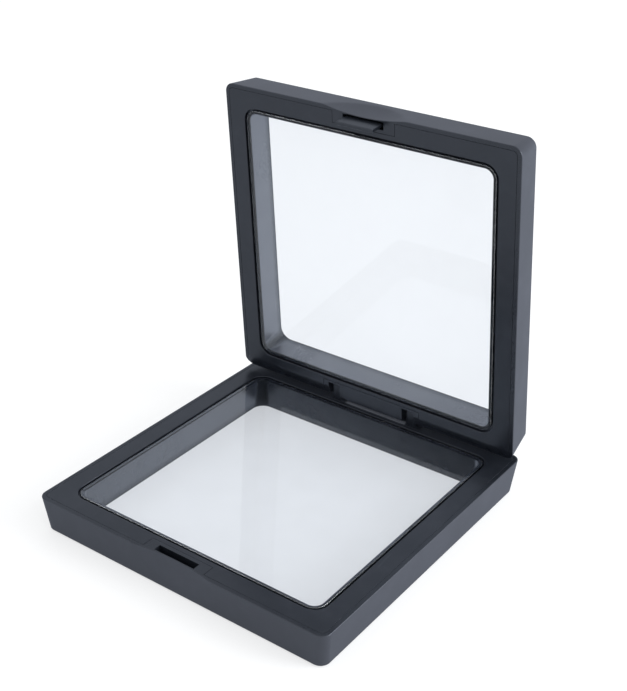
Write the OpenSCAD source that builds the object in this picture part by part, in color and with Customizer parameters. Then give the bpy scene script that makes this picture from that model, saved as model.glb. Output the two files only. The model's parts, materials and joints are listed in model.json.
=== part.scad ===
// Display case for an enamel pin: two hinged frames, each with a clear elastic film across its window.
// Origin: centre of the underside. The front is -Y, the hinge is at +Y, and the lid is drawn open.

/* [Case] */
// Width and depth of the closed case
case_w = 90; // [80:1:110]
// Height of one half, from its outer face to its mating face
half_h = 9.95; // [9.6:0.05:12]
// Gap between the two mating faces when the case is shut
seam_gap = 0.1; // [0.05:0.05:0.2]
// Radius of the case's upright corners at the mating face
corner_r = 2.6; // [2.6:0.1:6]
// How far the outer walls lean in over the height of one half
draft = 1.2; // [0.8:0.1:1.4]
// Chamfer round the outer face
face_chamfer = 0.5; // [0.3:0.1:0.7]
// How far the lid stands open as drawn
lid_angle = 85.5; // [0:0.5:110]

/* [Window] */
// Width of the rim at the mating face, from the outer edge to the window
rim_w = 7.7; // [7.4:0.1:12]
// Corner radius of the window at the mating face
window_r = 2.4; // [2:0.1:5]
// How far each side of the window opens out towards the outer face
window_flare = 1.1; // [0.8:0.1:1.2]

/* [Frame walls] */
// Thickness of the outer wall beside the clamp ring
wall_t = 1.2; // [1:0.1:1.4]
// Width of the ledge that carries the clamp ring
ledge_w = 0.9; // [0.6:0.1:1.1]
// Thickness of the outer face
web_t = 1.5; // [1.2:0.1:1.8]
// Width of the land that the film is drawn over
land_w = 0.95; // [0.8:0.05:1.2]

/* [Clamp ring] */
// Thickness of the ring
ring_t = 2; // [1.6:0.1:2.4]
// Width of the groove between the film and the ring
groove_w = 0.6; // [0.35:0.05:0.7]
// Depth of that groove
groove_depth = 1; // [0.6:0.1:1.3]
// How far the ring's foot reaches below the mating face
foot_depth = 4; // [3:0.25:5]
// Thickness of the ring's foot
foot_t = 1.2; // [1:0.1:1.4]
// Clearance round the ring in the frame
ring_fit = 0.08; // [0.05:0.01:0.12]

/* [Film] */
// Thickness of the film
film_t = 0.12; // [0.1:0.01:0.2]
// How far the film lies below the mating face
film_recess = 0.08; // [0.05:0.01:0.15]
// How far the film's skirt hangs down the inner wall
skirt_h = 2.5; // [2:0.25:2.75]

/* [Hinge] */
// Distance of the hinge axis from the case's rear edge
hinge_inset = 2.1; // [2:0.05:2.4]
// Height of the hinge axis above the base's mating face
hinge_rise = 3.45; // [3.4:0.05:3.8]
// Distance from the case's middle to the outer side of each hinge slot
slot_outer_x = 14.2; // [12:0.1:20]
// Width of each hinge slot
hinge_slot_w = 3.7; // [3.5:0.1:4.2]
// Thickness of each hinge ear
ear_t = 2.9; // [2.4:0.1:3.1]
// Radius of an ear's rounded top
ear_r = 1.8; // [1.5:0.05:1.85]
// Gap between an ear and the outer side of its slot
ear_gap = 0.3; // [0.2:0.05:0.4]
// Radius of the hinge studs
stud_r = 0.8; // [0.7:0.05:0.95]
// How far a stud stands out of its ear
stud_len = 1; // [0.9:0.05:1.1]
// Radial clearance of a stud in its bore
stud_fit = 0.05; // [0.03:0.01:0.08]
// Room between the hinge axis and the roof of the slot
slot_headroom = 2.6; // [2.5:0.05:2.8]
// Clearance round the lid's rear edge as it swings through the base
swing_gap = 0.3; // [0.2:0.05:0.35]
// Width of the sloped relief along the back of the lid's mating face
relief_w = 3; // [2.8:0.1:3.4]
// Depth of that relief at the rear edge
relief_depth = 0.95; // [0.9:0.05:1.1]

/* [Latch] */
// Width of the latch slot
latch_slot_w = 12.4; // [10:0.2:14]
// Front-to-back width of the latch slot
latch_slot_d = 2.05; // [1.95:0.05:2.2]
// Distance from the case's front edge to the latch slot
latch_inset = 1.55; // [1.5:0.05:1.7]
// Depth of the latch slot
latch_depth = 4.8; // [4.5:0.1:5.5]
// Side clearance of the tongue in the slot
tongue_side_gap = 0.6; // [0.4:0.1:0.8]
// Thickness of the tongue
tongue_t = 0.9; // [0.8:0.05:0.95]
// Clearance between the tongue and the front of the slot
tongue_front_gap = 0.6; // [0.5:0.01:0.65]
// How far the tongue stands out of the lid's mating face
tongue_reach = 4; // [3.2:0.1:4.2]
// How far the tongue's bead stands out of its rear face
bead_h = 0.3; // [0.2:0.02:0.34]

/* [Finger scallop] */
// Half of the scallop's width at the mating face
scallop_half_w = 12.5; // [10:0.5:14]
// Depth of the scallop at the mating face
scallop_depth = 1.35; // [1:0.05:1.45]

/* [Hidden] */
$fn = 96;
overlap = 0.01;
half_w = case_w / 2;
closed_h = 2 * half_h + seam_gap;
window_half = half_w - rim_w;
land_half = window_half + land_w;
land_z = half_h - film_recess - film_t;
film_half = land_half + film_t;
ring_inner_half = film_half + groove_w;
ring_z = half_h - ring_t;
foot_z = half_h - foot_depth;
pocket_half = half_w - wall_t;
hinge_y = half_w - hinge_inset;
hinge_z = half_h + hinge_rise;
// The hinge axis in the lid's own frame, which has its mating face up
lid_hinge_z = closed_h - hinge_z;
// Room in front of the ears, and beyond the ends of the studs
slot_front_gap = 0.3;
stud_end_gap = 0.3;
// How far the ears are rooted below the mating face
ear_root = 2;
// Material left beside the hinge slots, and in front of them
block_wall = 1.8;
block_front_wall = 0.7;
block_half_w = slot_outer_x + block_wall;
block_front_y = hinge_y - ear_r - slot_front_gap - block_front_wall;
// The lid's middle, between the slots, keeps its full mating face, and its rear edge swings in a trough
middle_half_w = slot_outer_x - hinge_slot_w;
ear_inner_x = slot_outer_x - ear_gap - ear_t;
rear_edge_r = sqrt(pow(hinge_inset, 2) + pow(hinge_rise - seam_gap, 2));
// The latch boss ends where the scallop has become shallow, and leaves this much behind the slot
boss_half_w = scallop_half_w - 3;
boss_back_wall = 1;
boss_back_y = half_w - latch_inset - latch_slot_d - boss_back_wall;
latch_front_y = -half_w + latch_inset;
// Radius of the sphere that cuts the scallop
scallop_r = (pow(scallop_half_w, 2) + pow(scallop_depth, 2)) / (2 * scallop_depth);

// Square outline with round corners, centred
module rounded_square(half, radius) {
    square([2 * half, 2 * (half - radius)], center = true);
    square([2 * (half - radius), 2 * half], center = true);
    for (sx = [-1, 1], sy = [-1, 1])
        translate([sx * (half - radius), sy * (half - radius)])
            circle(radius);
}

// Draws a shape and its mirror image left of the middle
module both_sides() {
    children();
    mirror([1, 0, 0])
        children();
}

// Plate between two rounded squares, standing on bottom
module square_band(outer, outer_r, inner, inner_r, bottom, height) {
    translate([0, 0, bottom])
        linear_extrude(height)
            difference() {
                rounded_square(outer, outer_r);
                rounded_square(inner, inner_r);
            }
}

// Sweeps a section round a square: x is the distance outward from the corner centres, y is up
module swept_square(corner_centre) {
    for (turn = [0 : 90 : 270])
        rotate(turn)
            translate([corner_centre, corner_centre, 0]) {
                rotate_extrude(angle = 90)
                    children();
                rotate([90, 0, 0])
                    linear_extrude(2 * corner_centre)
                        children();
            }
}

// Solid body of one half, leaning in towards the outer face
module outer_body() {
    lean_at_chamfer = draft * (1 - face_chamfer / half_h);
    corner_centre = half_w - corner_r;
    core = corner_centre + overlap;
    swept_square(corner_centre)
        polygon([
            [0, 0],
            [corner_r - draft - face_chamfer, 0],
            [corner_r - lean_at_chamfer, face_chamfer],
            [corner_r, half_h],
            [0, half_h]
        ]);
    translate([-core, -core, 0])
        cube([2 * core, 2 * core, half_h]);
}

// Hollows in that body: the window, the channel round it, and the wider seat of the clamp ring
module outer_body_hollows() {
    channel_half = pocket_half - ledge_w;
    window_clear = window_flare + land_w / 4;
    translate([0, 0, -1])
        linear_extrude(half_h)
            rounded_square(window_half + window_clear, window_r + window_clear);
    translate([0, 0, web_t])
        linear_extrude(half_h)
            rounded_square(channel_half, corner_r - wall_t - ledge_w);
    translate([0, 0, ring_z])
        linear_extrude(half_h)
            rounded_square(pocket_half, corner_r - wall_t);
}

// Inner wall round the window, with the shoulder that stops the ring's foot
module inner_wall() {
    shoulder = land_w + film_t + foot_t / 2;
    swept_square(window_half - window_r)
        translate([window_r, 0])
            polygon([
                [window_flare, 0],
                [shoulder, 0],
                [shoulder, foot_z],
                [land_w, foot_z],
                [land_w, land_z],
                [0, land_z]
            ]);
}

// Thick place behind the scallop that holds the latch slot
module latch_boss() {
    translate([-boss_half_w, -pocket_half - overlap, web_t - overlap])
        cube([2 * boss_half_w, pocket_half + overlap - boss_back_y, half_h - web_t + overlap]);
}

// Thick place at the back that carries the ears, or is slotted for them
module hinge_block() {
    translate([-block_half_w, block_front_y, web_t - overlap])
        cube([2 * block_half_w, pocket_half + overlap - block_front_y, half_h - web_t + overlap]);
}

// Dish for a fingertip, shared by both halves
module scallop() {
    translate([0, -half_w - scallop_r + scallop_depth, half_h])
        sphere(scallop_r);
}

// Wedge off the back of the lid's mating face, which swings low over the base as the lid opens
module rear_relief(inner_x = -overlap) {
    slope = relief_depth / relief_w;
    both_sides()
        translate([inner_x, half_w, half_h])
            rotate([90, 0, 90])
                linear_extrude(half_w + 1 - inner_x)
                    polygon([[-relief_w, 0], [1, -slope * (relief_w + 1)], [1, 1], [-relief_w, 1]]);
}

module latch_slot() {
    translate([-latch_slot_w / 2, latch_front_y, half_h - latch_depth])
        cube([latch_slot_w, latch_slot_d, latch_depth + 1]);
}

// What the two frames have in common, mating face up
module half_frame() {
    difference() {
        union() {
            difference() {
                outer_body();
                outer_body_hollows();
            }
            inner_wall();
            latch_boss();
            hinge_block();
        }
        scallop();
        latch_slot();
    }
}

// Ring that closes the channel and clamps the film's skirt against the inner wall
module clamp_ring() {
    difference() {
        union() {
            square_band(pocket_half - ring_fit, corner_r - wall_t - ring_fit,
                ring_inner_half, window_r + ring_inner_half - window_half, ring_z, ring_t);
            square_band(film_half + foot_t, window_r + land_w + film_t + foot_t,
                film_half, window_r + land_w + film_t, foot_z, foot_depth - groove_depth);
        }
        translate([-boss_half_w - ring_fit, -half_w, foot_z - 1])
            cube([2 * (boss_half_w + ring_fit), half_w - boss_back_y + ring_fit, half_h]);
        translate([-block_half_w - ring_fit, block_front_y - ring_fit, foot_z - 1])
            cube([2 * (block_half_w + ring_fit), half_w, half_h]);
    }
}

// Film drawn over the land, with its skirt down the outside of the inner wall
module film() {
    film_r = window_r + land_w + film_t;
    translate([0, 0, land_z])
        linear_extrude(film_t)
            rounded_square(film_half, film_r);
    square_band(film_half, film_r, land_half, window_r + land_w, land_z - skirt_h, skirt_h + overlap);
}

// Places a piece drawn in the lid's own frame, mating face up, on the open lid
module on_lid() {
    translate([0, hinge_y, hinge_z])
        rotate([-lid_angle, 0, 0])
            translate([0, -hinge_y, -hinge_z])
                translate([0, 0, closed_h])
                    mirror([0, 0, 1])
                        children();
}

module hinge_ears() {
    both_sides() {
        translate([ear_inner_x, hinge_y - ear_r, half_h - ear_root])
            cube([ear_t, 2 * ear_r, hinge_rise + ear_root]);
        translate([ear_inner_x, hinge_y, hinge_z])
            rotate([0, 90, 0])
                cylinder(h = ear_t, r = ear_r);
        translate([ear_inner_x + ear_t / 2, hinge_y, hinge_z])
            rotate([0, 90, 0])
                cylinder(h = ear_t / 2 + stud_len, r = stud_r);
    }
}

// Trough in the base for the lid's rear edge, as wide as the space between the ears
module hinge_trough() {
    translate([-ear_inner_x, hinge_y, hinge_z])
        rotate([0, 90, 0])
            cylinder(h = 2 * ear_inner_x, r = rear_edge_r + swing_gap);
}

// Slots and stud bores for the ears, in the lid's own frame
module hinge_slots() {
    front_y = hinge_y - ear_r - slot_front_gap;
    both_sides() {
        translate([middle_half_w, front_y, lid_hinge_z - slot_headroom])
            cube([hinge_slot_w, half_w, half_h]);
        translate([slot_outer_x - ear_gap, hinge_y, lid_hinge_z])
            rotate([0, 90, 0])
                cylinder(h = stud_len + stud_end_gap, r = stud_r + stud_fit);
    }
}

module latch_tongue() {
    front_y = latch_front_y + tongue_front_gap;
    width = latch_slot_w - 2 * tongue_side_gap;
    translate([-width / 2, front_y, half_h - latch_depth - overlap])
        cube([width, tongue_t, latch_depth + tongue_reach + overlap]);
    translate([-width / 2, front_y + tongue_t, half_h + tongue_reach - 2 * bead_h])
        rotate([0, 90, 0])
            cylinder(h = width, r = bead_h);
}

module base_frame() {
    color([0.07, 0.07, 0.09]) {
        difference() {
            half_frame();
            hinge_trough();
        }
        hinge_ears();
    }
}

module base_clamp_ring() {
    color([0.1, 0.1, 0.12])
        clamp_ring();
}

module base_film() {
    color([0.85, 0.92, 0.98, 0.3])
        film();
}

module lid_frame() {
    color([0.07, 0.07, 0.09])
        on_lid() {
            difference() {
                half_frame();
                rear_relief(middle_half_w);
                hinge_slots();
            }
            latch_tongue();
        }
}

module lid_clamp_ring() {
    color([0.1, 0.1, 0.12])
        on_lid()
            difference() {
                clamp_ring();
                rear_relief();
            }
}

module lid_film() {
    color([0.85, 0.92, 0.98, 0.3])
        on_lid()
            film();
}

base_frame();
base_clamp_ring();
base_film();
lid_frame();
lid_clamp_ring();
lid_film();
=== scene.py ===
"""Looks of a small hinged display case: two black moulded frames, each with a clamp ring and a clear film.

Every shape is worked out in the half's own frame, in millimetres: the mating face is up, the outer face lies
at height 0, the front is -Y and the hinge is at +Y. The base stands that way as it is. The lid is the same
half turned upside down on top of it and swung open about the hinge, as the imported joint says.
"""

import json
import logging
import math
from dataclasses import dataclass
from enum import Enum
from typing import Any, Callable, Sequence

import bmesh
import bpy
import numpy as np
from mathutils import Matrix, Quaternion, Vector

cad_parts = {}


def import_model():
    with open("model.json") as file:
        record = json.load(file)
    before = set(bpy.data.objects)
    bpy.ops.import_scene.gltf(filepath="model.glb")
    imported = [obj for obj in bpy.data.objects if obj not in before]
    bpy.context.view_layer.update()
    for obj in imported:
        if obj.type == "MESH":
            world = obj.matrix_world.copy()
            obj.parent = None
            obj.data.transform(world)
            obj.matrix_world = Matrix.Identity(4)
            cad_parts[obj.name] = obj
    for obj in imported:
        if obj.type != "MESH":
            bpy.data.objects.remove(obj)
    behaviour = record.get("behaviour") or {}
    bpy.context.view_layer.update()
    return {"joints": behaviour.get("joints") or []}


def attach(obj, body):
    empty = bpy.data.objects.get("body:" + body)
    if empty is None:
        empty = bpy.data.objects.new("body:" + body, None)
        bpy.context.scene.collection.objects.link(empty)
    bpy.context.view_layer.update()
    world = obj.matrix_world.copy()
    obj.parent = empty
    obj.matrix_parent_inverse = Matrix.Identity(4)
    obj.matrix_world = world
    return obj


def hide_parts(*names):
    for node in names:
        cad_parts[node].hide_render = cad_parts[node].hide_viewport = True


LOG = logging.getLogger("display_case")
MM = 0.001
SIDE = "side"
WHITE = (1, 1, 1, 1)
Array = np.ndarray
Row = tuple[float, ...]
Pair = tuple[float, float]
Triple = tuple[float, float, float]


class Half(Enum):
    """The two halves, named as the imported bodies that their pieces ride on."""

    BASE = "base"
    LID = "lid"


class Slot(Enum):
    """The record's material slots."""

    FRAME = "black_plastic"
    RING = "ring_plastic"
    FILM = "clear_film"


@dataclass(frozen=True)
class CaseSizes:
    """Sizes that both halves share, in millimetres, the same as in the part's source."""

    half_w: float = 45.0
    half_h: float = 9.95
    seam_gap: float = 0.1
    corner_r: float = 2.6
    draft: float = 1.2
    face_chamfer: float = 0.5
    rim_w: float = 7.7
    window_r: float = 2.4
    window_flare: float = 1.1
    wall_t: float = 1.2
    ledge_w: float = 0.9
    web_t: float = 1.5
    land_w: float = 0.95
    ring_t: float = 2.0
    groove_w: float = 0.6
    groove_depth: float = 1.0
    foot_depth: float = 4.0
    foot_t: float = 1.2
    ring_fit: float = 0.08
    film_t: float = 0.12
    film_recess: float = 0.08
    skirt_h: float = 2.5
    relief_w: float = 3.0
    relief_depth: float = 0.95

    @property
    def closed_h(self) -> float:
        """Height of the closed case."""
        return 2 * self.half_h + self.seam_gap

    @property
    def window_half(self) -> float:
        """Half-width of the window at the mating face."""
        return self.half_w - self.rim_w

    @property
    def window_foot(self) -> float:
        """Half-width of the window at the outer face."""
        return self.window_half + self.window_flare

    @property
    def outer_centre(self) -> float:
        """Distance from the middle to the centre of an outer corner's arc."""
        return self.half_w - self.corner_r

    @property
    def inner_centre(self) -> float:
        """Distance from the middle to the centre of a window corner's arc."""
        return self.window_half - self.window_r

    @property
    def land_half(self) -> float:
        """Half-width of the inner wall's outer side, which the film's skirt lies against."""
        return self.window_half + self.land_w

    @property
    def land_z(self) -> float:
        """Height of the land that the film is drawn over."""
        return self.half_h - self.film_recess - self.film_t

    @property
    def film_half(self) -> float:
        """Half-width of the film over its skirt."""
        return self.land_half + self.film_t

    @property
    def ring_inner(self) -> float:
        """Half-width of the ring's opening."""
        return self.film_half + self.groove_w

    @property
    def ring_z(self) -> float:
        """Height of the ledge that the ring lies on."""
        return self.half_h - self.ring_t

    @property
    def foot_z(self) -> float:
        """Height of the underside of the ring's foot."""
        return self.half_h - self.foot_depth

    @property
    def pocket_half(self) -> float:
        """Half-width of the pocket that holds the ring."""
        return self.half_w - self.wall_t

    def wall_half(self, z: float) -> float:
        """Half-width of the leaning outer wall at height z."""
        return self.half_w - self.draft * (1 - z / self.half_h)


@dataclass(frozen=True)
class HingeSizes:
    """Sizes of the hinge, in millimetres, the same as in the part's source."""

    case: CaseSizes = CaseSizes()
    inset: float = 2.1
    rise: float = 3.45
    slot_outer_x: float = 14.2
    slot_w: float = 3.7
    ear_t: float = 2.9
    ear_r: float = 1.8
    ear_gap: float = 0.3
    ear_root: float = 2.0
    stud_r: float = 0.8
    stud_len: float = 1.0
    slot_headroom: float = 2.6
    slot_front_gap: float = 0.3
    block_wall: float = 1.8
    block_front_wall: float = 0.7
    swing_gap: float = 0.3

    @property
    def axis_y(self) -> float:
        """Distance of the hinge axis from the middle."""
        return self.case.half_w - self.inset

    @property
    def axis_z(self) -> float:
        """Height of the hinge axis."""
        return self.case.half_h + self.rise

    @property
    def rear_edge_r(self) -> float:
        """Distance from the axis to the lid's rear edge."""
        return math.hypot(self.inset, self.rise - self.case.seam_gap)

    @property
    def block_half_w(self) -> float:
        """Half-width of the thick place that holds the hinge."""
        return self.slot_outer_x + self.block_wall

    @property
    def ear_outer_x(self) -> float:
        """Distance from the middle to an ear's outer side."""
        return self.slot_outer_x - self.ear_gap

    @property
    def ear_inner_x(self) -> float:
        """Distance from the middle to an ear's inner side."""
        return self.ear_outer_x - self.ear_t

    @property
    def middle_half_w(self) -> float:
        """Half-width of the lid's middle part, between the two slots."""
        return self.slot_outer_x - self.slot_w

    @property
    def slot_front(self) -> float:
        """Distance from the middle to the front of the hinge slots."""
        return self.axis_y - self.ear_r - self.slot_front_gap

    @property
    def block_front(self) -> float:
        """Distance from the middle to the front of the thick place that holds the hinge."""
        return self.slot_front - self.block_front_wall


@dataclass(frozen=True)
class LatchSizes:
    """Sizes of the latch and of the finger scallop, in millimetres, the same as in the part's source."""

    slot_half_w: float = 6.2
    slot_d: float = 2.05
    inset: float = 1.55
    depth: float = 4.8
    boss_half_w: float = 9.5
    boss_back_wall: float = 1.0
    side_gap: float = 0.6
    tongue_t: float = 0.9
    front_gap: float = 0.6
    reach: float = 4.0
    bead_h: float = 0.3
    scallop_half_w: float = 12.5
    scallop_depth: float = 1.35

    @property
    def scallop_r(self) -> float:
        """Radius of the ball that cuts the scallop."""
        return (self.scallop_half_w**2 + self.scallop_depth**2) / (2 * self.scallop_depth)


@dataclass(frozen=True)
class Skin:
    """A closed surface in a half's own frame.

    Attributes:
        points: Its points, in millimetres.
        quads: Its faces, as four indices each, turned outwards.
        marks: For each point, what the finish reads there from the attribute SIDE; all 0 if left out.
    """

    points: Array
    quads: Array
    marks: Array | None = None


def grid_faces(rows: int, columns: int, closed: bool) -> Array:
    """Quads between neighbouring points of a grid, whose point (r, c) has the index r x columns + c.

    Args:
        rows: How many rows.
        columns: How many points in a row, the last of which meets the first.
        closed: Whether the last row meets the first too.

    Returns:
        Four indices for each quad.
    """
    r, c = np.arange(rows if closed else rows - 1)[:, None], np.arange(columns)[None, :]
    r2, c2 = (r + 1) % rows, (c + 1) % columns
    quads = [r * columns + c, r2 * columns + c, r2 * columns + c2, r * columns + c2]
    return np.stack(quads, axis=-1).reshape(-1, 4)


@dataclass(frozen=True)
class Corner:
    """One corner of a section, at a half-width and a height.

    Attributes:
        fillet: Radius of the arc that rounds it.
        more: How many points lie on the straight line to the next corner.
        inner: Whether the contour through it turns about the window's corner centres.
        lean: How far inwards its own corner centre lies, which keeps its arc as wide.
    """

    half: float
    z: float
    fillet: float = 0.05
    more: int = 0
    inner: bool = False
    lean: float = 0.0


def inner(*rows: Row) -> list[Corner]:
    """Corners on the window's side, from their half-width, height, fillet and more."""
    return [Corner(*row, inner=True) for row in rows]


@dataclass(frozen=True)
class Section:
    """A closed section, with so many steps to an arc, which takes at most longest_cut of a straight line."""

    corners: tuple[Corner, ...]
    steps: int = 4
    longest_cut: float = 0.45

    def filled(self, bends: Array, lasts: Array, firsts: Array) -> Array:
        """Joins the corners' arcs by even steps from each one's last value to the next one's first."""
        parts = []
        for corner, bend, last, first in zip(self.corners, bends, lasts, firsts):
            share = np.arange(1, corner.more + 1)[:, None] / (corner.more + 1)
            parts += [bend, last + (first - last) * share]
        return np.concatenate(parts)

    def points(self) -> Array:
        """Rounds every corner and fills in the straight lines.

        A corner is cut back by fillet / tan(half its angle). A conic arc with the corner as its control
        point, weighted by the sine of that half angle, joins the two cuts.

        Returns:
            The (half-width, height) of each point, in order.
        """
        spot = np.array([(c.half, c.z) for c in self.corners])
        fillet = np.array([c.fillet for c in self.corners])
        back, ahead = np.roll(spot, 1, axis=0) - spot, np.roll(spot, -1, axis=0) - spot
        back_len, ahead_len = np.linalg.norm(back, axis=1), np.linalg.norm(ahead, axis=1)
        back, ahead = back / back_len[:, None], ahead / ahead_len[:, None]
        half_angle = np.arccos(np.clip((back * ahead).sum(1), -1, 1)) / 2
        cut = np.minimum(fillet / np.tan(half_angle), self.longest_cut * np.minimum(back_len, ahead_len))
        start, end = spot + back * cut[:, None], spot + ahead * cut[:, None]
        t = np.linspace(0, 1, self.steps + 1)[None, :, None]
        pull = 2 * t * (1 - t) * np.sin(half_angle)[:, None, None]
        arc = (1 - t) ** 2 * start[:, None] + t**2 * end[:, None] + pull * spot[:, None]
        arc = arc / ((1 - t) ** 2 + t**2 + pull)
        return self.filled(arc, end, np.roll(start, -1, axis=0))

    def centres(self, outer: float, inner: float) -> Array:
        """The corner centre that each point's contour turns about, blended along the lines.

        Args:
            outer: Corner centre of the outer contours.
            inner: Corner centre of the window's contours.

        Returns:
            One centre for each point.
        """
        own = np.array([[(inner if c.inner else outer) - c.lean] for c in self.corners])
        bends = np.repeat(own[:, None], self.steps + 1, axis=1)
        return self.filled(bends, own, np.roll(own, -1, axis=0))[:, 0]


@dataclass(frozen=True)
class WayRound:
    """The way round a half: front, right, back and left side, each followed by a corner.

    A column is one place along the way. Near columns stand at fixed distances along their side. Far columns
    are spread from there to the side's own end, which differs from contour to contour.
    """

    near: tuple[Row, ...]
    reach: float
    far_steps: int = 5
    corner_steps: int = 12

    def columns(self) -> Array:
        """Where each column stands: at fixed + share x (corner centre - reach), or turned in the corner.

        Returns:
            Four rows: each column's side, its fixed distance, its share and its turn.
        """
        far = np.linspace(0, 1, self.far_steps + 1)
        turns = np.linspace(0, math.pi / 2, self.corner_steps + 1)[1:-1]
        parts = []
        for side, places in enumerate(self.near):
            near, beyond = sorted(places), [self.reach] * (len(far) + len(turns))
            fixed = np.concatenate([[-self.reach] * len(far), near, beyond])
            share = np.concatenate([-far[::-1], np.zeros(len(near)), far, np.ones(len(turns))])
            turn = np.concatenate([np.zeros(len(fixed) - len(turns)), turns])
            parts.append([np.full(len(fixed), side), fixed, share, turn])
        return np.concatenate(parts, axis=1)

    def skin(self, points: Array, centre: Array) -> Skin:
        """Puts every column's section points round the case.

        A point turns about (centre, -centre) at the radius half-width - centre, and all of a side's points
        are then turned by its quarter turns.

        Args:
            points: The (half-width, height) of each point, a row for each column.
            centre: Corner centre of each point of a section.

        Returns:
            The skin.
        """
        side, fixed, share, turn = self.columns()[..., None]
        radius = points[..., 0] - centre
        x = fixed + share * (centre - self.reach) + radius * np.sin(turn)
        y = -centre - radius * np.cos(turn)
        cos, sin = np.round(np.cos(side * math.pi / 2)), np.round(np.sin(side * math.pi / 2))
        shell = np.stack([x * cos - y * sin, x * sin + y * cos, points[..., 1]], axis=-1).reshape(-1, 3)
        return Skin(shell, grid_faces(*points.shape[:2], closed=True))


def doubled(places: Sequence[float], gap: float = 0.05) -> list[float]:
    """Columns on both sides of the middle, half a gap before and after each place where a section changes."""
    return [sign * place + step for place in places for sign in (-1, 1) for step in (-gap / 2, gap / 2)]


def added(name: str, data: bpy.types.ID) -> bpy.types.Object:
    """A new object in the scene, which shows the data."""
    obj = bpy.data.objects.new(name, data)
    bpy.context.scene.collection.objects.link(obj)
    return obj


@dataclass
class Workshop:
    """Makes Blender objects from skins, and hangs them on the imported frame.

    Attributes:
        axis_y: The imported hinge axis's place, and axis_z its height, in millimetres.
        open_deg: How far the lid stands open at rest.
        sharp_deg: Edges that turn by more than this stay sharp.
        weld_mm: Points closer than this become one, and edges shorter than sliver_mm are dissolved.
    """

    axis_y: float
    axis_z: float
    open_deg: float
    finishes: dict[Slot, bpy.types.Material]
    sharp_deg: float = 40
    weld_mm: float = 0.0005
    sliver_mm: float = 0.0002

    def world(self, points: Array, half: Half) -> Array:
        """Takes a half's points, in millimetres, to where it stands at rest, in metres.

        The lid's heights are mirrored at the closed case's top, and it is then turned back about the axis.

        Args:
            points: Points in the half's own frame.
            half: Which half they belong to.

        Returns:
            The points in the row's frame.
        """
        if half is Half.BASE:
            return points * MM
        y, z = points[:, 1] - self.axis_y, CaseSizes().closed_h - points[:, 2] - self.axis_z
        cos, sin = math.cos(math.radians(-self.open_deg)), math.sin(math.radians(-self.open_deg))
        turned = [points[:, 0], self.axis_y + y * cos - z * sin, self.axis_z + y * sin + z * cos]
        return np.stack(turned, axis=1) * MM

    def piece(self, name: str, half: Half, skin: Skin, slot: Slot, node: str) -> None:
        """Makes one piece of a half.

        Args:
            name: The piece's name.
            half: The half that it belongs to and rides on.
            skin: Its surface.
            slot: The record's material slot, which also gives its finish.
            node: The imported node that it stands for.
        """
        order = skin.quads if half is Half.BASE else skin.quads[:, ::-1]
        mesh = bpy.data.meshes.new(name)
        mesh.from_pydata(self.world(skin.points, half).tolist(), [], order.tolist())
        obj = added(name, mesh)
        marks = np.zeros(len(skin.points)) if skin.marks is None else skin.marks
        mesh.attributes.new(SIDE, "FLOAT", "POINT").data.foreach_set("value", marks.astype(np.float32))
        self.weld(mesh)
        mesh.materials.append(self.finishes[slot])
        mesh.shade_smooth()
        mesh.set_sharp_from_angle(angle=math.radians(self.sharp_deg))
        weighted = obj.modifiers.new("flat_faces_stay_flat", "WEIGHTED_NORMAL")
        weighted.keep_sharp = True
        weighted.weight = 100
        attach(obj, half.value)
        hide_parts(node)
        LOG.info("%s: %d points, %d faces", name, len(mesh.vertices), len(mesh.polygons))

    def weld(self, mesh: bpy.types.Mesh) -> None:
        """Merges points that fall together, and drops the faces that vanish with them."""
        work = bmesh.new()
        work.from_mesh(mesh)
        bmesh.ops.remove_doubles(work, verts=work.verts, dist=self.weld_mm * MM)
        bmesh.ops.dissolve_degenerate(work, edges=work.edges, dist=self.sliver_mm * MM)
        work.to_mesh(mesh)
        work.free()


@dataclass
class Part:
    """A sub-assembly, and the sizes that it is worked out from."""

    sizes: CaseSizes = CaseSizes()
    hinge: HingeSizes = HingeSizes()
    latch: LatchSizes = LatchSizes()


def lower(points: Array, roof: Array, where: Array) -> None:
    """Brings the points of a place down to a roof."""
    points[:, 2] = np.where(where, np.minimum(points[:, 2], roof), points[:, 2])


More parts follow.
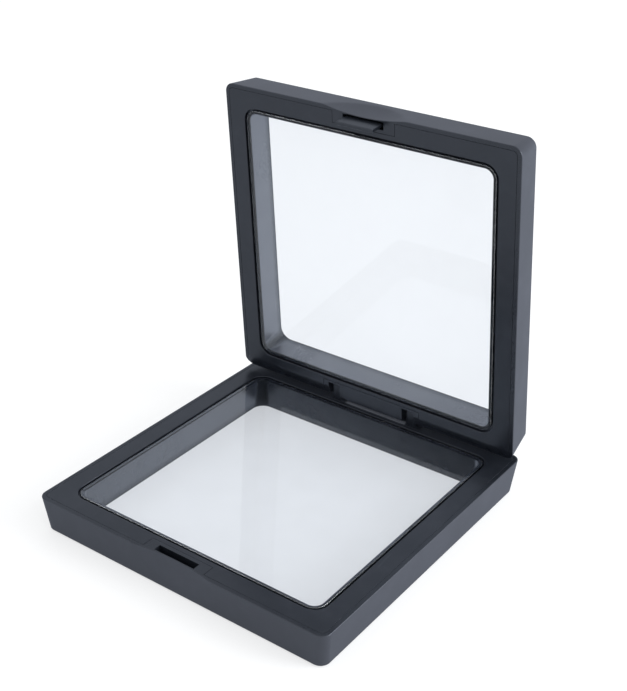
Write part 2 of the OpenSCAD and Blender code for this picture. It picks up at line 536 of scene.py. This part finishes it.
@dataclass
class Surround(Part):
    """What the frame and the ring of a half share: a section carried round, and cuts that it can't give.

    Attributes:
        reach: How far the near columns may stand from the middle of a side.
        crease: Width of the smooth change between the front and the scallop.
        scallop_edge_r: Radius of the scallop's edge at the mating face.
        least_push: A point that would move back by less than this stays.
    """

    half: Half = Half.BASE
    reach: float = 18.0
    crease: float = 0.12
    scallop_edge_r: float = 0.14
    least_push: float = 0.002

    def carried(self, near: Sequence[Sequence[float]], plain: Section,
                changes: Sequence[tuple[int, float, float, Section]]) -> Skin:
        """Gives every column the section of its place, and puts the columns round the case.

        Args:
            near: The near columns of each side.
            plain: The usual section.
            changes: Side, start and end, as distances from its middle, and section of each other stretch.

        Returns:
            The skin.
        """
        way = WayRound(tuple(map(tuple, near)), self.reach)
        side, off = np.abs(way.columns()[:2])
        points = np.repeat(plain.points()[None], len(side), axis=0)
        for place, start, end, section in changes:
            points[(side == place) & (off >= start) & (off < end)] = section.points()
        return way.skin(points, plain.centres(self.sizes.outer_centre, self.sizes.inner_centre))

    def scallop(self, points: Array) -> None:
        """Pushes the front out of the finger scallop's ball.

        The ball's surface lies at y = centre + root of (radius squared - x squared - height squared), and
        rounds over near the mating face. A point moves back to it by a smooth maximum.
        """
        radius = self.latch.scallop_r
        centre = -self.sizes.half_w - radius + self.latch.scallop_depth
        inside = radius**2 - points[:, 0] ** 2 - (points[:, 2] - self.sizes.half_h) ** 2
        climb = np.clip((points[:, 2] - self.sizes.half_h) / self.scallop_edge_r + 1, 0, 1)
        ball = centre + np.sqrt(np.maximum(inside, 0)) + self.scallop_edge_r * (1 - np.sqrt(1 - climb**2))
        y = points[:, 1]
        pushed = (y + ball + np.sqrt((y - ball) ** 2 + self.crease**2)) / 2
        near = (y < -self.sizes.outer_centre) & (pushed - y > self.least_push)
        points[:, 1] = np.where(near, pushed, y)

    def relief(self, points: Array, inner_x: float) -> None:
        """Lowers the back of the mating face to a slope, beyond the distance inner_x from the middle."""
        s = self.sizes
        drop = np.maximum(points[:, 1] - (s.half_w - s.relief_w), 0) * (s.relief_depth / s.relief_w)
        lower(points, s.half_h - drop, np.abs(points[:, 0]) > inner_x)

    def trough(self, points: Array) -> None:
        """Sinks a round trough about the hinge axis into the base's block, between the ears."""
        x, y, hinge = points[:, 0], points[:, 1], self.hinge
        radius = hinge.rear_edge_r + hinge.swing_gap
        floor = hinge.axis_z - np.sqrt(np.maximum(radius**2 - (y - hinge.axis_y) ** 2, 0))
        lower(points, floor, (np.abs(x) < hinge.ear_inner_x) & (y > 0))


@dataclass
class Moulding(Surround):
    """The outer frame of a half: leaning walls, the window's wall, and the places for latch and hinge.

    Attributes:
        edge_r: Radius of the outer edges. seat_r is in the channel, seam_r where frame and ring meet, land_r
            under the film, lip_r at slots, and pit_r and slot_r deep in the latch and hinge slots.
        least: A size too small to see, which only keeps corners apart.
        flat_z: What lies lower than this is the outer face.
        front_cols: Last column at the front and the gap between columns, and so at the back and the sides.
    """

    edge_r: float = 0.22
    seat_r: float = 0.06
    seam_r: float = 0.04
    land_r: float = 0.12
    window_edge_r: float = 0.3
    lip_r: float = 0.12
    front_lip_r: float = 0.15
    pit_r: float = 0.1
    slot_r: float = 0.15
    least: float = 0.01
    flat_z: float = 0.001
    front_cols: Pair = (14.25, 0.5)
    back_cols: Pair = (16.8, 2.4)
    side_cols: Pair = (9.0, 9.0)
    wall_steps: int = 22

    def section(self, middle: Sequence[Row], top: tuple[Corner, Corner] | None = None) -> Section:
        """The whole section.

        Args:
            middle: Half-width, height and fillet of six corners between the rim and the web.
            top: The rim's outer and inner corner, where they aren't the usual ones.

        Returns:
            The closed section.
        """
        s = self.sizes
        shoulder = s.land_half + s.film_t + s.foot_t / 2
        chamfer_half = s.half_w - s.draft - s.face_chamfer
        lean = s.half_w - s.wall_half(s.face_chamfer)
        rim = top or (
            Corner(s.half_w, s.half_h, self.edge_r, more=2),
            Corner(s.pocket_half, s.half_h, self.seam_r, more=3),
        )
        return Section((
            Corner(chamfer_half, 0, self.edge_r, lean=lean),
            Corner(s.wall_half(s.face_chamfer), s.face_chamfer, self.edge_r, self.wall_steps, lean=lean),
            *rim,
            *(Corner(*row, more=1) for row in middle),
            *inner(
                (shoulder, s.web_t, self.seat_r),
                (shoulder, s.foot_z, self.seat_r),
                (s.land_half, s.foot_z, self.seat_r),
                (s.land_half, s.land_z, self.land_r),
                (s.window_half, s.land_z, self.window_edge_r, 3),
                (s.window_foot, 0, self.window_edge_r, 3),
            ),
        ))

    def plain(self) -> Section:
        """The section away from latch and hinge: pocket, ledge and open channel."""
        s = self.sizes
        ledge = s.pocket_half - s.ledge_w
        shelf = [(place, s.ring_z) for place in np.linspace(s.pocket_half, ledge, 4)]
        return self.section([*shelf, (ledge, (s.ring_z + s.web_t) / 2), (ledge, s.web_t)])

    def boss(self, slotted: bool) -> Section:
        """The section through the latch boss, with or without the latch slot."""
        s, latch = self.sizes, self.latch
        front = s.half_w - latch.inset
        back = front - latch.slot_d
        end = back - latch.boss_back_wall
        floor, apart = (s.half_h - latch.depth, 0.0) if slotted else (s.half_h, self.least)
        rounds = (self.front_lip_r, self.pit_r, self.lip_r) if slotted else (self.least,) * 3
        return self.section([
            (front, s.half_h, rounds[0]),
            (front - apart, floor, rounds[1]),
            (back + apart, floor, rounds[1]),
            (back, s.half_h, rounds[2]),
            (end, s.half_h, self.seam_r),
            (end, s.web_t),
        ])

    def block(self) -> Section:
        """The section through the hinge block, whose face runs right to the back."""
        s, end = self.sizes, self.hinge.block_front
        face = [(place, s.half_h) for place in np.linspace(s.pocket_half, end, 6)[1:-1]]
        return self.section([*face, (end, s.half_h, self.seam_r), (end, s.web_t)])

    def hinge_slot(self) -> Section:
        """The section through one of the lid's hinge slots, which opens through the back."""
        s, hinge = self.sizes, self.hinge
        roof = s.closed_h - hinge.axis_z - hinge.slot_headroom
        wall = s.wall_half(roof)
        top = (Corner(wall, roof, self.edge_r, more=2), Corner(wall - s.wall_t, roof, self.pit_r, more=3))
        return self.section([
            (wall - 1.5 * s.wall_t, roof),
            (wall - 2 * s.wall_t, roof),
            (hinge.slot_front, roof, self.slot_r),
            (hinge.slot_front, s.half_h, self.lip_r),
            (hinge.block_front, s.half_h, self.seam_r),
            (hinge.block_front, s.web_t),
        ], top)

    def sides(self, section: Section) -> Array:
        """Marks the sides of a section: the distance from their edge / its radius, at most 1.

        Args:
            section: The section.

        Returns:
            For each point, up to 1 on the outer wall and face, down to -1 on the window's wall, or 0.
        """
        s = self.sizes
        half, height = section.points().T
        wall_end = 3 * (section.steps + 1) + section.corners[1].more
        on_face = height < self.flat_z
        outer = np.clip((s.half_h - height) / self.edge_r, 0, 1)
        window = np.clip((s.window_foot - half) / self.edge_r, 0, 1)
        on_wall = np.arange(len(height)) < wall_end
        return np.where(on_wall | on_face, outer, 0) - np.where(on_face, 0, window)

    def near(self) -> list[list[float]]:
        """Each side's columns: close together at the scallop, and in pairs where the section changes."""
        hinge, latch = self.hinge, self.latch
        front, back, side = (list(np.arange(-last, last + gap / 2, gap))
                             for last, gap in (self.front_cols, self.back_cols, self.side_cols))
        changes = [hinge.middle_half_w, hinge.ear_inner_x, hinge.slot_outer_x, hinge.block_half_w]
        return [front + doubled([latch.slot_half_w, latch.boss_half_w]), side, back + doubled(changes), side]

    def surface(self) -> Skin:
        """The frame's skin: sections carried round, and then the cuts.

        Returns:
            The skin, with each point's mark as sides() gives it.
        """
        hinge, latch, plain = self.hinge, self.latch, self.plain()
        changes = [(0, 0, latch.boss_half_w, self.boss(False)), (0, 0, latch.slot_half_w, self.boss(True)),
                   (2, 0, hinge.block_half_w, self.block())]
        if self.half is Half.LID:
            changes.append((2, hinge.middle_half_w, hinge.slot_outer_x, self.hinge_slot()))
        skin = self.carried(self.near(), plain, changes)
        self.scallop(skin.points)
        if self.half is Half.LID:
            self.relief(skin.points, hinge.middle_half_w)
        else:
            self.trough(skin.points)
        marks = self.sides(plain)
        return Skin(skin.points, skin.quads, np.tile(marks, len(skin.points) // len(marks)))


@dataclass
class ClampRing(Surround):
    """The flat ring that closes a half's channel, with the foot that presses on the film's skirt."""

    edge_r: float = 0.05
    groove_r: float = 0.16
    foot_r: float = 0.1
    front_cols: Row = (-4.0, 0.0, 4.0)
    back_cols: Row = (-8.0, 0.0, 8.0)

    def section(self, outer: float) -> Section:
        """The ring's section, whose plate reaches out to the half-width outer."""
        s = self.sizes
        foot_out, foot_top = s.film_half + s.foot_t, s.half_h - s.groove_depth
        return Section((
            Corner(outer, s.ring_z, more=1),
            Corner(outer, s.half_h, self.edge_r, more=7),
            *inner(
                (s.ring_inner, s.half_h, self.groove_r, 1),
                (s.ring_inner, foot_top, self.edge_r),
                (s.film_half, foot_top, self.edge_r, 1),
                (s.film_half, s.foot_z, self.foot_r),
                (foot_out, s.foot_z, self.foot_r, 1),
                (foot_out, s.ring_z, self.edge_r, 1),
            ),
        ))

    def surface(self) -> Skin:
        """The ring's skin, notched round the latch boss and the hinge block.

        Returns:
            The skin, with the lid's rear relief.
        """
        s, hinge, latch = self.sizes, self.hinge, self.latch
        boss_half_w, block_half_w = latch.boss_half_w + s.ring_fit, hinge.block_half_w + s.ring_fit
        boss_back = s.half_w - latch.inset - latch.slot_d - latch.boss_back_wall
        front, back = [*self.front_cols, *doubled([boss_half_w])], [*self.back_cols, *doubled([block_half_w])]
        skin = self.carried((front, [0], back, [0]), self.section(s.pocket_half - s.ring_fit), (
            (0, 0, boss_half_w, self.section(boss_back - s.ring_fit)),
            (2, 0, block_half_w, self.section(hinge.block_front - s.ring_fit)),
        ))
        if self.half is Half.LID:
            self.relief(skin.points, 0)
        return skin


@dataclass
class Film(Part):
    """The clear film, drawn over the window's wall like a drum skin, and bent over its edge by bend_r."""

    rings: int = 20
    bend_r: float = 0.22
    bend_steps: int = 4

    def surface(self) -> Skin:
        """The film's skin, from the middle out over the edge, down the skirt and back underneath.

        The flat part is a stack of ever larger copies of the window's outline, scaled from the middle, so a
        contour's corner centre shrinks with it.

        Returns:
            The skin, whose mark is 1 where the film bends over the edge and 0 on its flat part.
        """
        s = self.sizes
        inner_r = self.bend_r - s.film_t
        top_half, under_half = s.film_half - self.bend_r, s.land_half - inner_r
        bend = np.linspace(0, math.pi / 2, self.bend_steps + 1)
        grow = np.linspace(0, 1, self.rings)
        shrink = grow[-2::-1]
        half = np.concatenate([
            top_half * grow, top_half + self.bend_r * np.sin(bend[1:]), [s.film_half, s.land_half],
            under_half + inner_r * np.sin(bend[::-1]), under_half * shrink,
        ])
        z = s.land_z + np.concatenate([
            np.full(len(grow), s.film_t), s.film_t - self.bend_r * (1 - np.cos(bend[1:])), [-s.skirt_h] * 2,
            -inner_r * (1 - np.cos(bend[::-1])), np.zeros(len(shrink)),
        ])
        straight = np.ones(len(half) - len(grow) - len(shrink))
        way = WayRound(((), (), (), ()), reach=0.0, far_steps=6, corner_steps=10)
        points = np.repeat(np.stack([half, z], axis=-1)[None], way.columns().shape[1], axis=0)
        skin = way.skin(points, s.inner_centre * np.concatenate([grow, straight, shrink]))
        bent = np.clip(2 * (half - top_half) / self.bend_r, 0, 1)
        return Skin(skin.points, skin.quads[:, ::-1], np.tile(bent, len(points)))


def cushion_ends(low: float, high: float, edge_r: float, closed_by: float, steps: int = 4) -> Array:
    """Stations along a plate's thickness, with both its edges rounded and both its ends closed.

    Args:
        low: Where the plate starts.
        high: Where it ends.
        edge_r: Radius of its edges.
        closed_by: Inset that closes the outline at an end.
        steps: Stretches in each quarter arc.

    Returns:
        The place of each station, and how far the outline is drawn in there.
    """
    angle = np.linspace(0, math.pi / 2, steps + 1)
    place, inset = edge_r * (1 - np.sin(angle)), edge_r * (1 - np.cos(angle))
    start = np.stack([low + place, inset], axis=1)[::-1]
    end = np.stack([high - place, inset], axis=1)
    return np.concatenate([[[low, closed_by]], start, end, [[high, closed_by]]])


def joined(*grids: Array) -> Skin:
    """Joins tube-like grids of points, whose columns close on themselves, into one skin."""
    faces, first = [], 0
    for grid in grids:
        faces.append(grid_faces(*grid.shape[:2], closed=False) + first)
        first += grid.shape[0] * grid.shape[1]
    return Skin(np.concatenate([g.reshape(-1, 3) for g in grids]), np.concatenate(faces))


@dataclass
class HingeEar(Part):
    """One of the base's two ears: an upright plate with a round top, and a stud on its outer side.

    Attributes:
        side: -1 for the left one and 1 for the right one.
    """

    side: int = 1
    edge_r: float = 0.25
    stud_edge_r: float = 0.2
    top_steps: int = 24
    edge_steps: int = 4
    turn_steps: int = 32

    def plate(self) -> Array:
        """The plate: a half circle about the hinge axis on two straight flanks, drawn in at the edges.

        Returns:
            A grid of points, a row for each station along x.
        """
        h = self.hinge
        station = cushion_ends(h.ear_inner_x, h.ear_outer_x, self.edge_r, closed_by=h.ear_r)
        angle = np.linspace(0, math.pi, self.top_steps + 1)
        radius = h.ear_r - station[:, 1:]
        y = h.axis_y + radius * np.concatenate([[1.0], np.cos(angle), [-1.0]])
        z = h.axis_z + radius * np.concatenate([[0.0], np.sin(angle), [0.0]])
        z[:, [0, -1]] = self.sizes.half_h - h.ear_root
        return np.stack(np.broadcast_arrays(station[:, :1], y, z), axis=-1)

    def stud(self) -> Array:
        """The stud: a profile turned about the hinge axis.

        Returns:
            A grid of points, a row for each point of the profile.
        """
        h = self.hinge
        start, tip = h.ear_outer_x - h.ear_t / 2, h.ear_outer_x + h.stud_len
        turn = np.linspace(0, math.pi / 2, self.edge_steps + 1)
        edge = [[tip, h.stud_r]] - self.stud_edge_r * (1 - np.stack([np.sin(turn), np.cos(turn)], axis=1))
        x, radius = np.concatenate([[[start, 0], [start, h.stud_r]], edge, [[tip, 0]]]).T[..., None]
        angle = np.linspace(0, 2 * math.pi, self.turn_steps, endpoint=False)
        y, z = h.axis_y + radius * np.sin(angle), h.axis_z + radius * np.cos(angle)
        return np.stack(np.broadcast_arrays(x, y, z), axis=-1)[:, ::-1]

    def surface(self) -> Skin:
        """The skins of plate and stud, mirrored for the left ear."""
        skin = joined(self.plate(), self.stud())
        return skin if self.side > 0 else Skin(skin.points * [-1, 1, 1], skin.quads[:, ::-1])


@dataclass
class LatchTongue(Part):
    """The lid's tongue, with a root sunk a little into the lid and a bead that snaps into the base's slot."""

    edge_r: float = 0.18
    sunk: float = 0.05
    root_r: float = 0.02
    ramp_r: float = 0.1
    bead_r: float = 0.15
    tip_back_r: float = 0.22
    tip_front_r: float = 0.3

    def surface(self) -> Skin:
        """The tongue's skin: its side view carried across the case, and drawn in at both ends.

        Returns:
            The skin.
        """
        s, latch = self.sizes, self.latch
        front = -s.half_w + latch.inset + latch.front_gap
        back, tip = front + latch.tongue_t, s.half_h + latch.reach
        root, bead = s.half_h - latch.depth - self.sunk, tip - 2 * latch.bead_h
        outline = Section((
            Corner(front, root, self.root_r),
            Corner(back, root, self.root_r, more=3),
            Corner(back, bead - latch.bead_h, self.ramp_r),
            Corner(back + latch.bead_h, bead - latch.bead_h / 3, self.bead_r),
            Corner(back + latch.bead_h, bead + latch.bead_h / 3, self.bead_r),
            Corner(back, bead + latch.bead_h, self.ramp_r),
            Corner(back, tip, self.tip_back_r),
            Corner(front, tip, self.tip_front_r, more=3),
        )).points()
        middle = np.array([(front + back) / 2, (root + tip) / 2])
        reach = np.array([latch.tongue_t / 2, (tip - root) / 2])
        width = latch.slot_half_w - latch.side_gap
        station = cushion_ends(-width, width, self.edge_r, closed_by=latch.tongue_t / 2)[:, None]
        flat = middle + (outline - middle) * (1 - station[..., 1:] / reach)
        across = np.broadcast_to(station[..., :1], (*flat.shape[:2], 1))
        return joined(np.concatenate([across, flat], axis=-1))


def operator(operation: str, flipped: bool = False) -> Callable[["Value", Any], "Value"]:
    """A method for one of Python's operators, flipped where the plain number stands on the left."""

    def method(self: "Value", other: Any) -> "Value":
        """The operation's result."""
        return self.math(operation, *((other, self) if flipped else (self, other)))

    return method


class Value:
    """A number's socket in a shader, with Python's operators: each one adds its Math node."""

    def __init__(self, graph: "Graph", socket: bpy.types.NodeSocket | None) -> None:
        """Wraps an output socket of a graph."""
        self.graph, self.socket = graph, socket

    def math(self, operation: str, *values: Any) -> "Value":
        """Adds one Math node and gives its result."""
        return self.graph.node("Math", dict(enumerate(values)), {"operation": operation})

    __add__ = __radd__ = operator("ADD")
    __mul__ = __rmul__ = operator("MULTIPLY")
    __sub__, __rsub__ = operator("SUBTRACT"), operator("SUBTRACT", flipped=True)
    __pow__ = operator("POWER")

    def at_least(self, low: float) -> "Value":
        """The number itself, or low where it is less."""
        return self.math("MAXIMUM", self, low)

    def between(self, low: float, high: float) -> "Value":
        """0 below low, 1 above high, and smooth in between."""
        inputs = {"Value": self, "From Min": low, "From Max": high}
        return self.graph.node("MapRange", inputs, {"interpolation_type": "SMOOTHSTEP"})


@dataclass(frozen=True)
class Pattern:
    """A noise pattern with so many waves to a metre, whose smooth step goes from low to high."""

    waves: float
    detail: float
    low: float = 0.0
    high: float = 1.0
    stretch: Triple = (1, 1, 1)


class Graph:
    """A material's or world's node tree, whose nodes all come from one method."""

    def __init__(self, owner: bpy.types.Material | bpy.types.World) -> None:
        """Starts with the owner's tree, emptied."""
        owner.use_nodes = True
        self.tree = owner.node_tree
        self.tree.nodes.clear()

    def node(self, kind: str, inputs: dict[Any, Any] | None = None, settings: dict[str, Any] | None = None,
             output: int | str = 0) -> Value:
        """Adds a node.

        Args:
            kind: The node's type, without the word ShaderNode.
            inputs: Values or links for its sockets, by name or number.
            settings: Its own settings.
            output: Which output to give back.

        Returns:
            The chosen output.
        """
        node = self.tree.nodes.new(f"ShaderNode{kind}")
        for name, value in (settings or {}).items():
            setattr(node, name, value)
        for name, value in (inputs or {}).items():
            if isinstance(value, Value):
                self.tree.links.new(value.socket, node.inputs[name])
            else:
                node.inputs[name].default_value = value
        return Value(self, node.outputs[output] if node.outputs else None)

    def noise(self, pattern: Pattern) -> Value:
        """A pattern's level."""
        where = self.node("TexCoord", output="Object")
        place = self.node("Mapping", {"Vector": where, "Scale": pattern.stretch})
        return self.node("TexNoise", {"Vector": place, "Scale": pattern.waves, "Detail": pattern.detail})

    def step(self, pattern: Pattern) -> Value:
        """A pattern's smooth step."""
        return self.noise(pattern).between(pattern.low, pattern.high)

    def bump(self, height: Value) -> Value:
        """The normal of a relief whose height is in metres."""
        return self.node("Bump", {"Strength": 1.0, "Distance": 1.0, "Height": height})

    def facing(self) -> Value:
        """0 where the surface is seen straight on, and 1 where it is seen edge on."""
        return self.node("LayerWeight", {"Blend": 0.5}, output="Facing")

    def mark(self) -> Value:
        """The skin's mark at this place."""
        return self.node("Attribute", settings={"attribute_name": SIDE}, output="Fac")

    def laid(self, share: Any, under: Value, over: Value) -> Value:
        """One shader under another, which covers it by a share."""
        return self.node("MixShader", {0: share, 1: under, 2: over})

    def seen(self) -> Value:
        """1 for what the camera sees, directly, mirrored or through something clear, and 0 otherwise."""
        rays = ("Is Camera Ray", "Is Glossy Ray", "Is Transmission Ray")
        camera, mirrored, through = (self.node("LightPath", output=ray) for ray in rays)
        return (camera + mirrored + through).between(0, 0.5)


@dataclass(frozen=True)
class Finish:
    """A material, which each kind of finish puts together from its own numbers."""

    name: str

    def shader(self, graph: Graph) -> Value:
        """The finish's shader, whose nodes go into the graph."""
        raise NotImplementedError

    def build(self) -> bpy.types.Material:
        """Builds the material."""
        material = bpy.data.materials.new(self.name)
        graph = Graph(material)
        graph.node("OutputMaterial", {"Surface": self.shader(graph)})
        return material


@dataclass(frozen=True)
class MouldedPlastic(Finish):
    """Black plastic straight out of the mould: satin, with faint flow marks, fine grain and scuffs.

    Attributes:
        dark: Its colour on a clean mating face, in linear light.
        bloom_and_painted_light: Its colour where handling has left a bloom, and the colour of the outside,
            which is painted light: the outer walls and face are painted paler than the mating faces so that
            they read as more lit.
        gloss: Roughness of the clean surface, which varies by the spread.
        roughened: What grain, scuffs and the outside add to that.
        grain: Height of the fine grain, in metres; swell is the flow marks', and scratch a scuff's depth.
        face_on: Share mirrored by a mating face that is seen straight on.
        edge_on: Share mirrored on top of that by a face that is seen edge on.
        sheen: Share that the outside mirrors on top, seen from anywhere.
        dulled: Share that the outside and the window's wall mirror less, seen edge on.
        glare: Share that the window's wall mirrors on top, seen at a low angle.
        cloudy: The flow marks' share in the bloom, where smudges have the rest.
        bloomed: The bloom's share in the colour, where the outside's painted light has the rest.
    """

    dark: Triple = (0.008, 0.010, 0.014)
    bloom_and_painted_light: Triple = (0.040, 0.043, 0.054)
    gloss: float = 0.32
    spread: float = 0.10
    roughened: Triple = (0.08, 0.15, 0.06)
    grain: float = 6e-7
    swell: float = 3e-5
    scratch: float = 4e-6
    tint: Triple = (0.78, 0.85, 1.0)
    face_on: float = 0.045
    edge_on: float = 0.5
    sheen: float = 0.01
    dulled: float = 0.25
    glare: float = 0.19
    low_angle: Pair = (0.25, 0.55)
    scuff_shine: float = 0.04
    matte: float = 0.7
    cloudy: float = 0.6
    bloomed: float = 0.3
    flow_marks: Pattern = Pattern(45, 3, 0.35, 0.75)
    smudges: Pattern = Pattern(260, 4, 0.45, 0.75)
    grains: Pattern = Pattern(5200, 3)
    scratches: Pattern = Pattern(900, 2, 0.68, 0.76, (1, 0.06, 0.06))
    worn_places: Pattern = Pattern(70, 1, 0.5, 0.7)

    def shader(self, graph: Graph) -> Value:
        """A mirroring layer over a matte one, by the side and by the angle of view.

        Mirrored share = (1 - window) x face_on + (edge_on - (outside + window) x dulled) x facing to the
        fifth + outside x sheen + window x glare x a smooth step of facing + scuff x scuff_shine.

        Args:
            graph: The material's nodes.

        Returns:
            The shader.
        """
        cloud, grain = graph.noise(self.flow_marks), graph.noise(self.grains)
        scuff = graph.step(self.scratches) * graph.step(self.worn_places)
        side, facing = graph.mark(), graph.facing()
        outside, window = side.at_least(0), (side * -1).at_least(0)
        clouded = cloud.between(self.flow_marks.low, self.flow_marks.high)
        bloom = clouded * self.cloudy + graph.step(self.smudges) * (1 - self.cloudy)
        grain_rough, scuff_rough, outside_rough = self.roughened
        roughness = self.gloss + (bloom - 0.5) * self.spread + (grain - 0.5) * grain_rough
        roughness = roughness + scuff * scuff_rough + outside * outside_rough
        bump = graph.bump(grain * self.grain + cloud * self.swell - scuff * self.scratch)
        share = (1 - window) * self.face_on + facing**5 * (self.edge_on - (outside + window) * self.dulled)
        share = share + outside * self.sheen + window * facing.between(*self.low_angle) * self.glare
        # Painted light: the outside is painted paler than the mating faces, on top of the bloom's random
        # tone.
        colour = graph.node("Mix", {
            0: bloom * self.bloomed + outside * (1 - self.bloomed), 6: (*self.dark, 1), 7: (*self.bloom_and_painted_light, 1),
        }, {"data_type": "RGBA"}, output=2)
        matte = graph.node("BsdfPrincipled", {
            "Base Color": colour, "Roughness": self.matte, "Specular IOR Level": 0.0, "Normal": bump,
        })
        shine = graph.node("BsdfPrincipled", {
            "Base Color": (*self.tint, 1), "Metallic": 1.0, "Roughness": roughness, "Normal": bump,
        })
        return graph.laid(share + scuff * self.scuff_shine, matte, shine)


@dataclass(frozen=True)
class ClearFilm(Finish):
    """Clear elastic film: nearly all light goes straight through, and more is mirrored at a low angle.

    Attributes:
        tint: What one pass through a face of the film leaves of the light.
        milk: Colour of what it scatters and mirrors.
        veil: Share that a face scatters, as a faint white haze, which varies by the part patchy.
        pulled: Share that a face mirrors on top where the film is pulled over the edge.
        smear: What the haze adds to its roughness.
    """

    tint: Triple = (0.908, 0.920, 0.938)
    milk: Triple = (0.9, 0.93, 0.96)
    face_on: float = 0.02
    edge_on: float = 0.5
    veil: float = 0.028
    patchy: float = 0.4
    pulled: float = 0.1
    gloss: float = 0.02
    smear: float = 0.03
    swell: float = 2e-5
    haze: Pattern = Pattern(120, 2, 0.3, 0.8)
    ripples: Pattern = Pattern(28, 1)

    def shader(self, graph: Graph) -> Value:
        """Mirrored share = face_on + edge_on x facing to the fifth power + bend x pulled."""
        haze = graph.step(self.haze)
        share = graph.facing() ** 5 * self.edge_on + self.face_on + graph.mark() * self.pulled
        clear = graph.node("BsdfTransparent", {"Color": (*self.tint, 1)})
        milk = graph.node("BsdfTranslucent", {"Color": (*self.milk, 1)})
        misty = graph.laid((haze * self.patchy + (1 - self.patchy / 2)) * self.veil, clear, milk)
        mirror = graph.node("BsdfPrincipled", {
            "Base Color": (*self.milk, 1), "Metallic": 1.0, "Roughness": haze * self.smear + self.gloss,
            "Normal": graph.bump(graph.noise(self.ripples) * self.swell),
        })
        return graph.laid(share, misty, mirror)


@dataclass(frozen=True)
class PaleFloor(Finish):
    """The floor's matte white, with the level by which it glows where it is seen, so that it reads white."""

    colour: Triple = (0.42, 0.43, 0.44)
    glow: float = 0.62

    def shader(self, graph: Graph) -> Value:
        """Matte and glow together."""
        matte = graph.node("BsdfDiffuse", {"Color": (*self.colour, 1)})
        glow = graph.node("Emission", {"Color": WHITE, "Strength": graph.seen() * self.glow})
        return graph.node("AddShader", {0: matte, 1: glow})


@dataclass(frozen=True)
class Lamp:
    """A square soft lamp: its place and aim in metres, its side and its power in watts."""

    name: str
    spot: Triple
    aim: Triple
    size: float
    watts: float

    def hang(self) -> None:
        """Hangs it, out of the camera's sight."""
        data = bpy.data.lights.new(self.name, "AREA")
        data.size, data.energy = self.size, self.watts
        lamp = added(self.name, data)
        lamp.visible_camera = False
        lamp.location = self.spot
        lamp.rotation_euler = (Vector(self.aim) - Vector(self.spot)).to_track_quat("-Z", "Y").to_euler()


@dataclass(frozen=True)
class PhotoCamera:
    """The photograph's camera, as fitted to the edges in it.

    Attributes:
        turn_deg: Its turn to the right of the front, its rise over the floor and its roll.
    """

    turn_deg: Triple = (37.177, 22.891, -0.119)
    target_mm: Triple = (-5.86, 9.21, 75.57)
    distance_mm: float = 327.39
    lens_mm: float = 68.528
    sensor_mm: float = 36.0
    shift: Pair = (0.0369, -0.1700)
    clip_m: Pair = (0.01, 20.0)

    def place(self) -> None:
        """Puts it into the scene."""
        azimuth, elevation, roll = map(math.radians, self.turn_deg)
        level = math.cos(elevation)
        back = Vector((math.sin(azimuth) * level, -math.cos(azimuth) * level, math.sin(elevation)))
        data = bpy.data.cameras.new("photo_camera")
        data.lens, data.sensor_width = self.lens_mm, self.sensor_mm
        data.shift_x, data.shift_y = self.shift
        data.clip_start, data.clip_end = self.clip_m
        camera = added("photo_camera", data)
        camera.location = Vector(self.target_mm) * MM + back * (self.distance_mm * MM)
        camera.rotation_mode = "QUATERNION"
        camera.rotation_quaternion = (-back).to_track_quat("-Z", "Y") @ Quaternion(Vector((0, 0, 1)), roll)
        bpy.context.scene.camera = camera


@dataclass(frozen=True)
class Studio:
    """The white surroundings: the sky with its level, the floor with its reach, and four soft lamps."""

    sky: float = 0.8
    reach: float = 6.0
    lamps: tuple[Lamp, ...] = (
        Lamp("right_softbox", (1.2, 0.2, 0.9), (0, 0, 0.05), 0.9, 4),
        Lamp("low_right_strip", (0.95, 0.42, 0.3), (0, 0, 0.05), 0.6, 10),
        Lamp("front_left_spot", (-0.67, -0.62, 0.78), (0, 0, 0.03), 0.25, 0.8),
        Lamp("front_right_spot", (0.85, -0.45, 0.9), (0, 0, 0.03), 0.12, 0.8),
    )

    def surround(self) -> None:
        """Makes the even sky, pure white where it is seen."""
        world = bpy.data.worlds.new("white_surround")
        bpy.context.scene.world = world
        graph = Graph(world)
        lit, seen = (graph.node("Background", {"Color": WHITE, "Strength": s}) for s in (self.sky, 1.0))
        graph.node("OutputWorld", {"Surface": graph.laid(graph.seen(), lit, seen)})

    def ground(self) -> None:
        """Lays the floor."""
        mesh = bpy.data.meshes.new("floor")
        corners = [(x * self.reach, y * self.reach, 0) for x, y in ((-1, -1), (1, -1), (1, 1), (-1, 1))]
        mesh.from_pydata(corners, [], [(0, 1, 2, 3)])
        mesh.materials.append(PaleFloor("pale_floor").build())
        added("floor", mesh)

    def build(self) -> None:
        """Puts everything in its place."""
        self.surround()
        self.ground()
        for lamp in self.lamps:
            lamp.hang()
        PhotoCamera().place()


def main() -> None:
    """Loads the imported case, builds both halves over it, and sets the studio round them."""
    logging.basicConfig(level=logging.INFO, format="%(name)s: %(message)s")
    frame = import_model()
    joint = frame["joints"][0]
    shop = Workshop(joint["pos_m"][1] / MM, joint["pos_m"][2] / MM, joint["range_deg"][1], {
        Slot.FRAME: MouldedPlastic("frame_plastic").build(),
        Slot.RING: MouldedPlastic("clamp_ring_plastic", gloss=0.34, spread=0.08, grain=8e-7).build(),
        Slot.FILM: ClearFilm("stretched_film").build(),
    })
    for half in Half:
        for word, part, slot, node in (
            ("moulding", Moulding(half=half), Slot.FRAME, "frame"),
            ("ring", ClampRing(half=half), Slot.RING, "clamp_ring"),
            ("window_film", Film(), Slot.FILM, "film"),
        ):
            shop.piece(f"{half.value}_{word}", half, part.surface(), slot, f"{half.value}_{node}")
    for side, word in ((-1, "left"), (1, "right")):
        shop.piece(f"hinge_ear_{word}", Half.BASE, HingeEar(side=side).surface(), Slot.FRAME, "base_frame")
    shop.piece("latch_tongue", Half.LID, LatchTongue().surface(), Slot.FRAME, "lid_frame")
    Studio().build()
    bpy.context.scene.view_settings.view_transform = "Standard"


if __name__ == "__main__":
    main()
